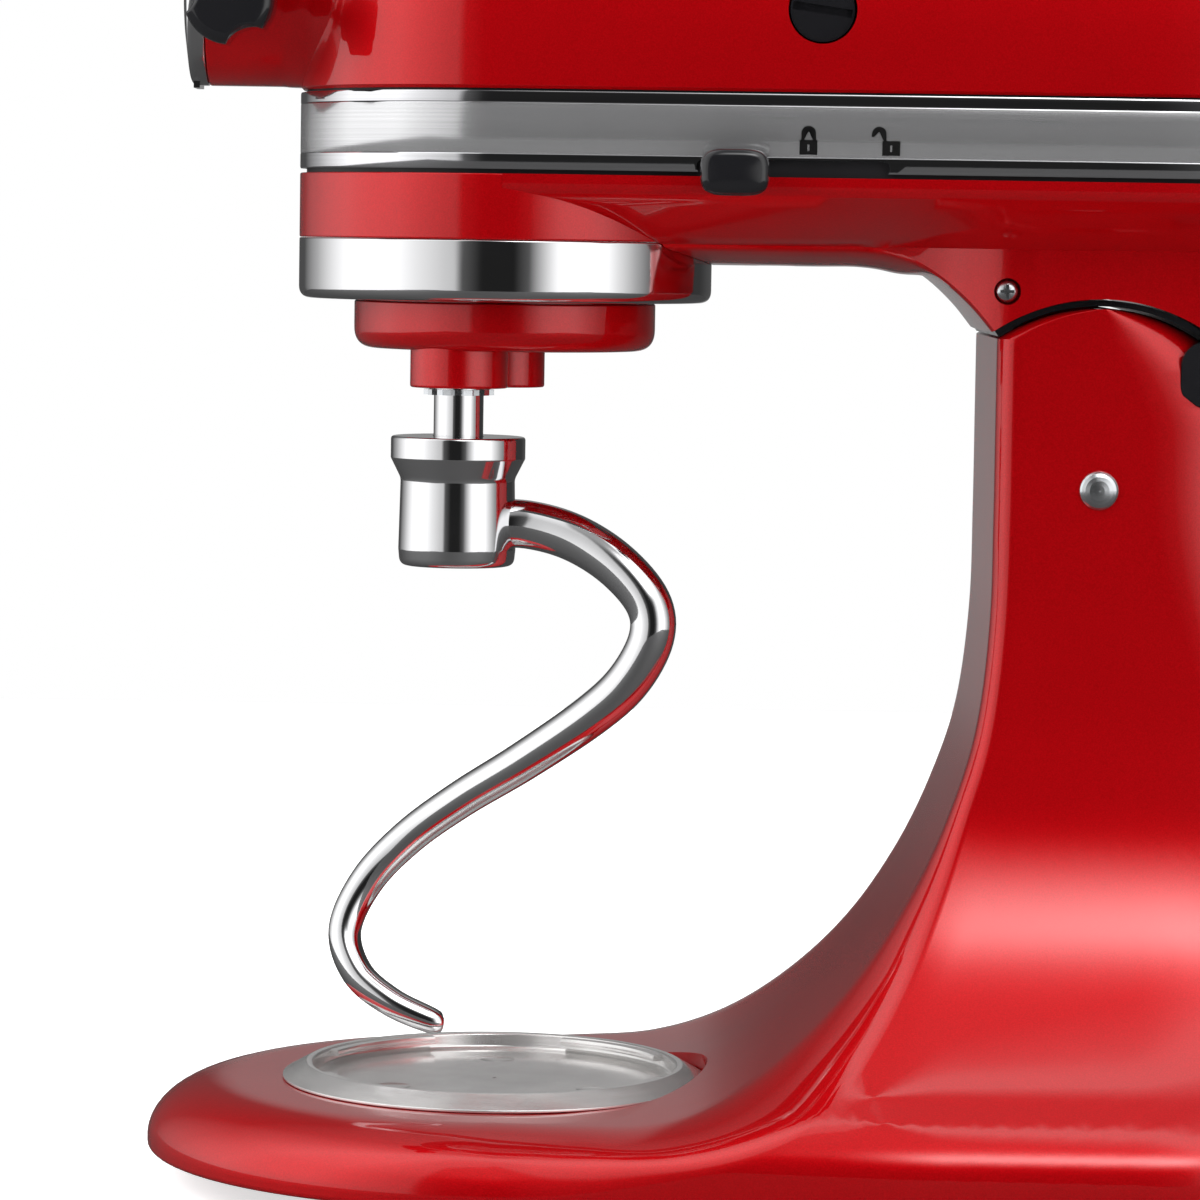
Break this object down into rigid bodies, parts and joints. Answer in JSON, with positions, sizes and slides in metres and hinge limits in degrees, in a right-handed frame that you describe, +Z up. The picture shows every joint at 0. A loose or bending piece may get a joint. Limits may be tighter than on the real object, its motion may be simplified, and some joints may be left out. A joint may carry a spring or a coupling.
{
  "type": "tilt-head stand mixer",
  "caption": "Tilt-head stand mixer with a hinged motor head, planetary drive, dough hook, attachment hub, lock and speed levers and a bayonet bowl seat.",
  "frame": {"origin": "on the table, under the middle of the mixer's box", "axes": "+Z up, attachment hub and bowl seat towards -X, hinge column towards +X, lock lever on -Y"},
  "size_m": [0.3564, 0.206, 0.353],
  "materials": {
    "red_paint": "deep metallic candy red under gloss clear coat",
    "black_gloss": "glossy black moulding",
    "black_print": "screen-printed black",
    "black_rubber": "matt black rubber",
    "stainless": "polished stainless steel",
    "satin_chrome": "satin chrome",
    "brushed_steel": "brushed along its length, polished edges",
    "zinc_steel": "bright zinc plate",
    "gear_steel": "machined steel",
    "copper_winding": "lacquered copper and steel laminations",
    "bronze": "sintered bronze",
    "worm_nylon": "glass-filled nylon",
    "carbon": "pressed carbon",
    "board_green": "lacquered circuit board"
  },
  "bodies": {
    "base": {"base_casting": "red_paint", "column_rear_cover": "black_gloss", "hinge_pin": "zinc_steel", "bowl_clamp_plate": "stainless", "clamp_plate_screws": "zinc_steel", "rubber_feet": "black_rubber", "foot_screws": "zinc_steel"},
    "head": {"arc_shield": "black_gloss", "upper_housing": "red_paint", "lower_housing": "red_paint", "trim_band": "brushed_steel", "end_cover": "red_paint", "drip_ring": "satin_chrome", "hub_casting": "red_paint", "hub_liner": "zinc_steel", "ring_gear": "gear_steel", "field_stator": "copper_winding", "motor_brackets": "gear_steel", "brush_holders": "bronze", "carbon_brushes": "carbon", "brush_caps": "black_gloss", "brush_springs": "gear_steel", "control_board": "board_green", "end_cover_screw": "zinc_steel", "neck_screws": "zinc_steel", "underside_screw": "zinc_steel", "centre_bearing": "gear_steel", "pinion_bush": "bronze", "hub_bush": "bronze", "speed_plate": "black_print", "cover_hinge_pin": "zinc_steel", "lever_pivot": "zinc_steel", "lock_icons": "black_print"},
    "hub_cover_flap": {"hub_cover": "stainless"},
    "hub_knob_screw": {"hub_knob": "black_gloss", "hub_knob_stud": "zinc_steel"},
    "lock_lever": {"lock_lever_arm": "zinc_steel", "lock_lever_knob": "black_gloss"},
    "speed_lever": {"speed_knob": "black_gloss", "speed_slide": "zinc_steel"},
    "motor_rotor": {"motor_shaft": "gear_steel", "armature_core": "gear_steel", "commutator": "copper_winding", "cooling_fan": "black_gloss"},
    "pinion_unit": {"pinion_shaft": "gear_steel", "worm_wheel": "worm_nylon", "spur_pinion": "gear_steel"},
    "hub_drive": {"hub_drive_shaft": "gear_steel", "hub_bevel_gear": "gear_steel"},
    "planetary_unit": {"planetary": "red_paint", "centre_shaft": "gear_steel", "centre_gear": "gear_steel", "planetary_pin": "zinc_steel"},
    "agitator": {"agitator_shaft": "stainless", "agitator_pin": "zinc_steel", "planet_pinion": "gear_steel", "shaft_clip": "zinc_steel", "dough_hook": "stainless"}
  },
  "joints": [
    {"name": "head_tilt", "type": "hinge", "parent": "base", "child": "head", "pos_m": [0.063, 0, 0.1843], "axis": [0, 1, 0], "range_deg": [0, 38]},
    {"name": "hub_cover_flip", "type": "hinge", "parent": "head", "child": "hub_cover_flap", "pos_m": [-0.1674, 0, 0.3349], "axis": [0, 1, 0], "range_deg": [0, 100]},
    {"name": "hub_knob_turn", "type": "hinge", "parent": "head", "child": "hub_knob_screw", "pos_m": [-0.157, -0.03, 0.304], "axis": [0, -1, 0], "range_deg": [0, 720]},
    {"name": "lock_lever_swing", "type": "hinge", "parent": "head", "child": "lock_lever", "pos_m": [-0.012, -0.004, 0.264], "axis": [0, 0, 1], "range_deg": [0, 26]},
    {"name": "speed_lever_slide", "type": "slide", "parent": "head", "child": "speed_lever", "axis": [1, 0, 0], "range_m": [0, 0.044]},
    {"name": "planetary_spin", "type": "hinge", "parent": "head", "child": "planetary_unit", "pos_m": [-0.088, 0, 0.24], "axis": [0, 0, 1], "continuous": true},
    {"name": "agitator_spin", "type": "hinge", "parent": "planetary_unit", "child": "agitator", "pos_m": [-0.09904, -0.02131, 0.22], "axis": [0, 0, 1], "continuous": true},
    {"name": "pinion_spin", "type": "hinge", "parent": "head", "child": "pinion_unit", "pos_m": [-0.04993, -0.024, 0.28], "axis": [0, 0, 1], "continuous": true},
    {"name": "motor_spin", "type": "hinge", "parent": "head", "child": "motor_rotor", "pos_m": [0.03, 0, 0.303], "axis": [1, 0, 0], "continuous": true},
    {"name": "hub_drive_spin", "type": "hinge", "parent": "head", "child": "hub_drive", "pos_m": [-0.12, 0, 0.308], "axis": [1, 0, 0], "continuous": true}
  ],
  "couplings": [
    {"joint": "agitator_spin", "follows": "planetary_spin", "ratio": -3},
    {"joint": "pinion_spin", "follows": "planetary_spin", "ratio": -4},
    {"joint": "motor_spin", "follows": "planetary_spin", "ratio": 48},
    {"joint": "hub_drive_spin", "follows": "planetary_spin", "ratio": -1}
  ]
}
